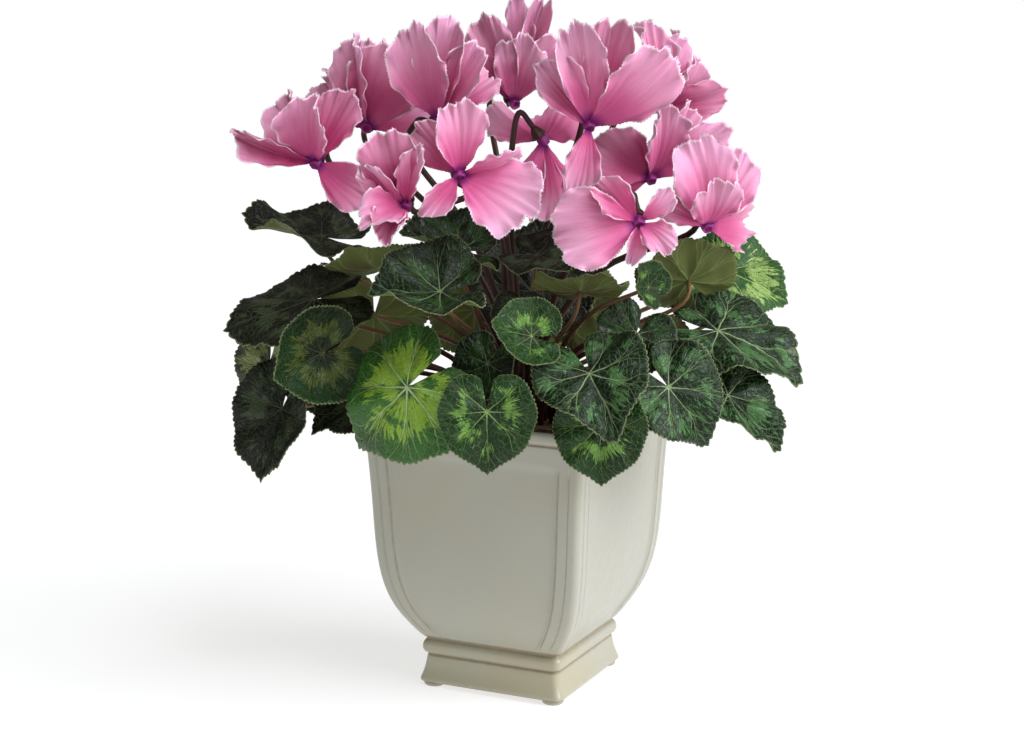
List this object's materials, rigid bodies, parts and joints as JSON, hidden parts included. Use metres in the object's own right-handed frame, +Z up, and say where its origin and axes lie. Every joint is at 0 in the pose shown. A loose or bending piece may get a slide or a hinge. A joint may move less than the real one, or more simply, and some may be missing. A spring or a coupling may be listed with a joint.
{
  "type": "potted cyclamen",
  "caption": "Florist's cyclamen with toothed, silver-marked heart leaves and frilled pink blooms on dark stalks, growing from a tuber in a square glazed footed planter.",
  "frame": {"origin": "middle of the pot's base on the surface that it stands on", "axes": "+Z up; the pot's four sides are square to X and Y, and the plant shows its face between -Y and +X, about 25 degrees round from -Y"},
  "size_m": [0.3778, 0.326, 0.4772],
  "materials": {
    "pot_glaze": "satin",
    "soil": "matte",
    "tuber": "matte",
    "leaf": "satin",
    "petal": "matte",
    "scape": "satin"
  },
  "bodies": {
    "root": {"pot": "pot_glaze", "soil": "soil", "tuber": "tuber", "leaf_01": "leaf", "leaf_02": "leaf", "leaf_03": "leaf", "leaf_04": "leaf", "leaf_05": "leaf", "leaf_06": "leaf", "leaf_07": "leaf", "leaf_08": "leaf", "leaf_09": "leaf", "leaf_10": "leaf", "leaf_11": "leaf", "leaf_12": "leaf", "leaf_13": "leaf", "leaf_14": "leaf", "leaf_15": "leaf", "leaf_16": "leaf", "leaf_17": "leaf", "leaf_18": "leaf", "leaf_19": "leaf", "leaf_20": "leaf", "leaf_21": "leaf", "leaf_22": "leaf", "leaf_23": "leaf", "leaf_24": "leaf", "leaf_25": "leaf", "leaf_26": "leaf", "leaf_27": "leaf", "leaf_28": "leaf", "leaf_29": "leaf", "leaf_30": "leaf", "leaf_31": "leaf", "leaf_32": "leaf", "leaf_33": "leaf", "corolla_a": "petal", "scape_a": "scape", "corolla_b": "petal", "scape_b": "scape", "corolla_c": "petal", "scape_c": "scape", "corolla_d": "petal", "scape_d": "scape", "corolla_e": "petal", "scape_e": "scape", "corolla_f": "petal", "scape_f": "scape", "corolla_g": "petal", "scape_g": "scape", "corolla_h": "petal", "scape_h": "scape", "corolla_i": "petal", "scape_i": "scape", "corolla_j": "petal", "scape_j": "scape", "corolla_k": "petal", "scape_k": "scape", "corolla_m": "petal", "scape_m": "scape"}
  },
  "joints": []
}
